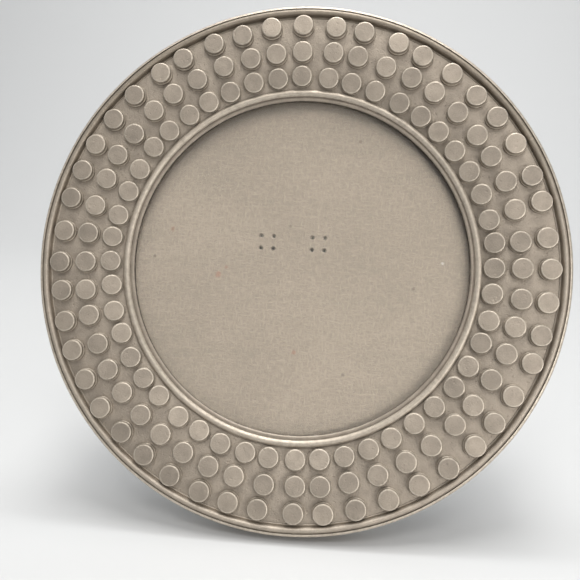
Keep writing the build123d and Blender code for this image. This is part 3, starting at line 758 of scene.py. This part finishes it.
def coin_place(turn, radius, inward, sideways):
    """Where a coin stands on the band: its middle, and its own directions."""
    spoke, along = Vector((math.cos(turn), math.sin(turn), 0)), Vector((-math.sin(turn), math.cos(turn), 0))
    normal = Vector((0, 0, math.cos(inward))) - spoke * math.sin(inward) + along * math.sin(sideways)
    normal.normalize()
    middle = spoke * radius + Vector((0, 0, band_height(radius) + COIN_LIFT))
    first = (along - normal * along.dot(normal)).normalized()
    turned_to = Matrix((first, normal.cross(first), normal)).transposed().to_4x4()
    return Matrix.Translation(middle) @ turned_to


scatter = random.Random(279)
hand = random.Random(11)
for node, row_radius in COIN_ROW_RADII.items():
    row = bmesh.new()
    tone = row.verts.layers.float.new("coin_tone")
    for number in range(COINS_PER_ROW):
        turn = COIN_START_ANGLE + number * 360 / COINS_PER_ROW
        turn = math.radians(turn + scatter.uniform(-COIN_ANGLE_SCATTER, COIN_ANGLE_SCATTER))
        radius = row_radius + scatter.uniform(-COIN_RADIAL_SCATTER, COIN_RADIAL_SCATTER)
        slope = math.asin((BAND_OUTER - radius) / BAND_DOME)
        inward = slope + math.radians(scatter.uniform(-COIN_TILT_SCATTER, COIN_TILT_SCATTER))
        sideways = math.radians(scatter.uniform(-COIN_TILT_SCATTER, COIN_TILT_SCATTER))
        count = len(row.verts)
        row.from_mesh(coin_mesh)
        row.verts.ensure_lookup_table()
        verts = row.verts[count:]
        own_tone = hand.uniform(*COIN_TONES)
        sway_x = hand.uniform(-COIN_SWAY_SPREAD, COIN_SWAY_SPREAD)
        sway_y = hand.uniform(-COIN_SWAY_SPREAD, COIN_SWAY_SPREAD)
        start = Vector((sway_x, sway_y, number))
        for vert in verts:
            vert[tone] = own_tone
            edge = Vector((vert.co.x, vert.co.y, 0))
            if edge.length > COIN_MIDDLE:
                outline = noise.noise(edge * COIN_OUTLINE_SCALE + start)
                vert.co += edge.normalized() * COIN_OUTLINE_SWAY * outline
            vert.co.z += COIN_FACE_SWAY * noise.noise(vert.co * COIN_FACE_SCALE + start)
        spin = Matrix.Rotation(hand.uniform(0, COIN_LAST_SPIN), 4, "Z")
        bmesh.ops.transform(row, matrix=coin_place(turn, radius, inward, sideways) @ spin, verts=verts)
    finish(row, node + "_discs", coin_metal, node, smooth=28)
bpy.data.meshes.remove(coin_mesh)

# Hardware and boards, with their edges eased
eased("backing_board", 0.25, flocked_board)
eased("easel_leg", 0.5, flocked_board, "leg")
eased("back_ring", 0.15, turned_plate)
eased("ring_screws", 0.08, screw_steel)
eased("turn_button_rivets", 0.12, screw_steel)
eased("leg_rivets", 0.12, screw_steel, "leg")
eased("hinge_board_leaf", 0.12, leaf_steel)
eased("hinge_leg_leaf", 0.12, leaf_steel, "leg")
eased("hinge_pin", 0.1, pin_steel)
for number in range(1, 5):
    eased(f"turn_button_{number}", 0.12, button_steel, f"turn_button_{number}")
for name, material in (("glass", clear_glass), ("board_lining", lining_cloth)):
    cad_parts[name].data.materials.clear()
    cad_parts[name].data.materials.append(material)

# Floor and backdrop: one pale sweep, in metres
pale_sweep, nodes, shader, output = new_material("pale_sweep")
shader.inputs["Base Color"].default_value = (0.58, 0.587, 0.592, 1)
shader.inputs["Roughness"].default_value = 0.8
FLOOR_FRONT = -1.6
FLOOR_BACK = 0.55
SWEEP_RADIUS = 0.5
SWEEP_TOP = 1.8
SWEEP_HALF_WIDTH = 2.5
SWEEP_STEPS = 16


def chosen(parts, *kinds):
    return [part for part in parts if isinstance(part, kinds)]


shape = bmesh.new()
edge = [shape.verts.new((side, FLOOR_FRONT, 0)) for side in (-SWEEP_HALF_WIDTH, SWEEP_HALF_WIDTH)]
front = shape.edges.new(edge)
moved = bmesh.ops.extrude_edge_only(shape, edges=[front])["geom"]
bmesh.ops.translate(shape, vec=(0, FLOOR_BACK - FLOOR_FRONT, 0), verts=chosen(moved, bmesh.types.BMVert))
moved = bmesh.ops.spin(
    shape, geom=chosen(moved, bmesh.types.BMVert, bmesh.types.BMEdge), cent=(0, FLOOR_BACK, SWEEP_RADIUS),
    axis=(1, 0, 0), dvec=(0, 0, 0), angle=math.pi / 2, steps=SWEEP_STEPS, use_merge=False,
)["geom_last"]
moved = bmesh.ops.extrude_edge_only(shape, edges=chosen(moved, bmesh.types.BMEdge))["geom"]
bmesh.ops.translate(shape, vec=(0, 0, SWEEP_TOP - SWEEP_RADIUS), verts=chosen(moved, bmesh.types.BMVert))
bmesh.ops.remove_doubles(shape, verts=shape.verts, dist=RING_WELD)
bmesh.ops.recalc_face_normals(shape, faces=shape.faces)
sweep_mesh = bpy.data.meshes.new("pale_sweep")
shape.to_mesh(sweep_mesh)
shape.free()
for face in sweep_mesh.polygons:
    face.use_smooth = True
sweep = bpy.data.objects.new("pale_sweep", sweep_mesh)
bpy.context.scene.collection.objects.link(sweep)
sweep.data.materials.append(pale_sweep)

# Camera: opposite the face, a little to the right and below its middle. Its place is in hundreds of
# millimetres from a plane that lies this far out
VIEW_PLANE_OUT = 11.0
FACE_SCALE = 100.0
CAMERA_RIGHT = 0.155
CAMERA_DOWN = 0.264
CAMERA_DISTANCE = 2.403
CAMERA_TILT = math.radians(-3.99)
CAMERA_TURN = math.radians(4.41)
FRAME_ROLL = math.radians(2.8)
FOCAL_PIXELS = 650.0
PHOTO_WIDTH = 580

roll = Matrix.Rotation(FRAME_ROLL, 3, "Z")
tilt = Matrix.Rotation(CAMERA_TILT, 3, "X")
turn = Matrix.Rotation(CAMERA_TURN, 3, "Y")
view = turn @ tilt
to_world = Matrix((RIGHT, -UP, -OUT)).transposed()
plate_to_world = to_world @ roll.transposed()
camera_data = bpy.data.cameras.new("camera")
camera_data.sensor_width = 36
camera_data.lens = 36 * FOCAL_PIXELS / PHOTO_WIDTH
camera_data.clip_start = 0.01
camera = bpy.data.objects.new("camera", camera_data)
bpy.context.scene.collection.objects.link(camera)
bpy.context.scene.camera = camera
spot = plate_to_world @ Vector((CAMERA_RIGHT, CAMERA_DOWN, -CAMERA_DISTANCE)) * FACE_SCALE * MM
camera.location = BACK_MIDDLE + OUT * VIEW_PLANE_OUT * MM + spot
camera_right = plate_to_world @ Vector(view[0])
camera_down = plate_to_world @ Vector(view[1])
camera_ahead = plate_to_world @ Vector(view[2])
camera.rotation_mode = "QUATERNION"
camera.rotation_quaternion = Matrix((camera_right, -camera_down, -camera_ahead)).transposed().to_quaternion()

# Soft studio light: softboxes overhead and high in front, one for the backdrop, weak fills, and a pale room


def softbox(name, where, aim, size, power, tone):
    light = bpy.data.lights.new(name, "AREA")
    light.shape = "RECTANGLE"
    light.size, light.size_y = size
    light.energy = power
    light.color = tone
    box = bpy.data.objects.new(name, light)
    box.location = where
    box.rotation_mode = "QUATERNION"
    box.rotation_quaternion = (Vector(aim) - Vector(where)).to_track_quat("-Z", "Y")
    bpy.context.scene.collection.objects.link(box)


softbox("overhead_softbox", (0.04, 0.0, 1.4), (0, 0.0, 0.1), (0.9, 0.5), 15, (1, 0.985, 0.96))
softbox("high_front_softbox", (0.06, -0.9, 1.3), (0, 0.0, 0.1), (0.8, 0.5), 8, (1, 0.985, 0.96))
softbox("backdrop_light", (0, 0.3, 1.6), (0, 1.05, 0.7), (1.6, 0.3), 9, (0.98, 0.99, 1))
softbox("front_fill", (-0.1, -1.3, 0.6), (0, 0, 0.1), (1.4, 1.3), 1.2, (1, 0.99, 0.97))
softbox("left_fill", (-0.9, -0.25, 0.45), (0, 0, 0.1), (0.4, 0.8), 0.9, (1, 0.985, 0.96))
softbox("low_fill", (0.45, -0.55, 0.12), (0.03, 0, 0.05), (0.4, 0.3), 2.5, (1, 0.98, 0.95))

room = bpy.data.worlds.new("pale_room")
room.use_nodes = True
room.node_tree.nodes["Background"].inputs[0].default_value = (0.86, 0.89, 0.92, 1)
room.node_tree.nodes["Background"].inputs[1].default_value = 0.2
bpy.context.scene.world = room
bpy.context.scene.view_settings.view_transform = "Standard"
